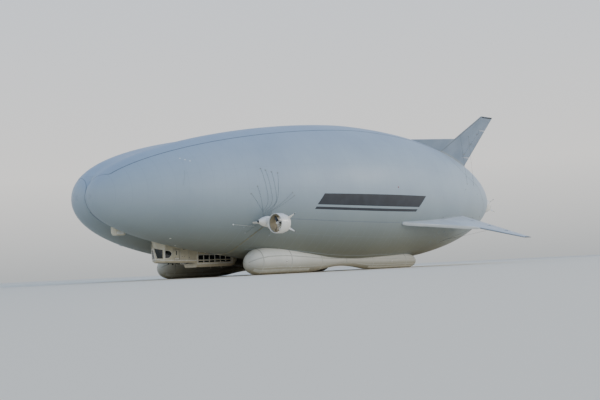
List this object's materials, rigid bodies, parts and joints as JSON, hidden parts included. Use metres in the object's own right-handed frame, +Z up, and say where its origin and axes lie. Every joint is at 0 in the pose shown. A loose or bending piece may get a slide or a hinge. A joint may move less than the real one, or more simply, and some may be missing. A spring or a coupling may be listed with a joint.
{
  "type": "twin-lobe hybrid airship, 1:10 scale model",
  "caption": "Twin-lobe hybrid airship at one tenth of full size, with a gondola, two landing skids, four tail fins and ducted propulsors.",
  "frame": {"origin": "on the floor under the middle of the whole airship's box", "axes": "+X towards the nose, +Y to port, +Z up"},
  "size_m": [9.2, 4.3506, 2.6074],
  "materials": {
    "envelope_fabric": "satin laminated fabric",
    "skid_fabric": "rubbery coated fabric",
    "fin_skin": "painted composite",
    "cowl_skin": "painted composite",
    "cabin_skin": "painted composite",
    "window_glass": "tinted glazing",
    "blade_skin": "painted composite",
    "engine_metal": "cast"
  },
  "bodies": {
    "root": {"envelope_nose_port": "envelope_fabric", "envelope_fore_port": "envelope_fabric", "envelope_rear_port": "envelope_fabric", "envelope_tail_port": "envelope_fabric", "envelope_nose_starboard": "envelope_fabric", "envelope_fore_starboard": "envelope_fabric", "envelope_rear_starboard": "envelope_fabric", "envelope_tail_starboard": "envelope_fabric", "landing_skid_port": "skid_fabric", "landing_skid_starboard": "skid_fabric", "upper_fin_port": "fin_skin", "upper_fin_starboard": "fin_skin", "upper_fin_strake_port": "fin_skin", "upper_fin_strake_starboard": "fin_skin", "lower_fin_port": "fin_skin", "lower_fin_starboard": "fin_skin", "lower_fin_strake_port": "fin_skin", "lower_fin_strake_starboard": "fin_skin", "forward_cowl_port": "cowl_skin", "forward_cowl_starboard": "cowl_skin", "forward_engine_port": "engine_metal", "forward_engine_starboard": "engine_metal", "forward_pylon_port": "cowl_skin", "forward_pylon_starboard": "cowl_skin", "aft_cowl_port": "cowl_skin", "aft_cowl_starboard": "cowl_skin", "aft_duct_port": "cowl_skin", "aft_duct_starboard": "cowl_skin", "aft_vanes_port": "cowl_skin", "aft_vanes_starboard": "cowl_skin", "deck_side_glass_port": "window_glass", "deck_side_glass_starboard": "window_glass", "module_glass_port": "window_glass", "module_glass_starboard": "window_glass", "envelope_top_panel": "envelope_fabric", "flight_deck": "cabin_skin", "windscreen": "window_glass", "mission_module": "cabin_skin", "fuel_module": "cabin_skin", "nose_mooring_fairing": "cabin_skin"},
    "cabin_door": {"cabin_door": "cabin_skin", "cabin_door_glass": "window_glass"},
    "forward_duct_port": {"forward_duct_port": "cowl_skin", "forward_vanes_port": "cowl_skin"},
    "forward_propeller_port": {"forward_propeller_port": "blade_skin"},
    "aft_propeller_port": {"aft_propeller_port": "blade_skin"},
    "rudder_port": {"rudder_port": "fin_skin"},
    "elevator_port": {"elevator_port": "fin_skin"},
    "forward_duct_starboard": {"forward_duct_starboard": "cowl_skin", "forward_vanes_starboard": "cowl_skin"},
    "forward_propeller_starboard": {"forward_propeller_starboard": "blade_skin"},
    "aft_propeller_starboard": {"aft_propeller_starboard": "blade_skin"},
    "rudder_starboard": {"rudder_starboard": "fin_skin"},
    "elevator_starboard": {"elevator_starboard": "fin_skin"}
  },
  "joints": [
    {"name": "cabin_door_hinge", "type": "hinge", "parent": "root", "child": "cabin_door", "pos_m": [3.256, 0.143, 0.3365], "axis": [0, 0, -1], "range_deg": [0, 100]},
    {"name": "forward_duct_tilt_port", "type": "hinge", "parent": "root", "child": "forward_duct_port", "pos_m": [2.735, 1.7, 0.665], "axis": [0, 1, 0], "range_deg": [-20, 20]},
    {"name": "forward_propeller_spin_port", "type": "hinge", "parent": "forward_duct_port", "child": "forward_propeller_port", "pos_m": [2.735, 1.7, 0.665], "axis": [1, 0, 0], "continuous": true},
    {"name": "aft_propeller_spin_port", "type": "hinge", "parent": "root", "child": "aft_propeller_port", "pos_m": [-4.4227, 0.138, 1.11], "axis": [1, 0, 0], "continuous": true},
    {"name": "rudder_hinge_port", "type": "hinge", "parent": "root", "child": "rudder_port", "pos_m": [-2.8936, 0.95103, 2.1334], "axis": [-0.4609, 0.389, 0.7976], "range_deg": [-25, 25]},
    {"name": "elevator_hinge_port", "type": "hinge", "parent": "root", "child": "elevator_port", "pos_m": [-2.1948, 1.69855, 0.61391], "axis": [-0.6154, 0.7184, -0.3244], "range_deg": [-25, 25]},
    {"name": "forward_duct_tilt_starboard", "type": "hinge", "parent": "root", "child": "forward_duct_starboard", "pos_m": [2.735, -1.7, 0.665], "axis": [0, 1, 0], "range_deg": [-20, 20]},
    {"name": "forward_propeller_spin_starboard", "type": "hinge", "parent": "forward_duct_starboard", "child": "forward_propeller_starboard", "pos_m": [2.735, -1.7, 0.665], "axis": [1, 0, 0], "continuous": true},
    {"name": "aft_propeller_spin_starboard", "type": "hinge", "parent": "root", "child": "aft_propeller_starboard", "pos_m": [-4.4227, -0.138, 1.11], "axis": [1, 0, 0], "continuous": true},
    {"name": "rudder_hinge_starboard", "type": "hinge", "parent": "root", "child": "rudder_starboard", "pos_m": [-2.8936, -0.95103, 2.1334], "axis": [-0.4609, -0.389, 0.7976], "range_deg": [-25, 25]},
    {"name": "elevator_hinge_starboard", "type": "hinge", "parent": "root", "child": "elevator_starboard", "pos_m": [-2.1948, -1.69855, 0.61391], "axis": [-0.6154, -0.7184, -0.3244], "range_deg": [-25, 25]}
  ]
}
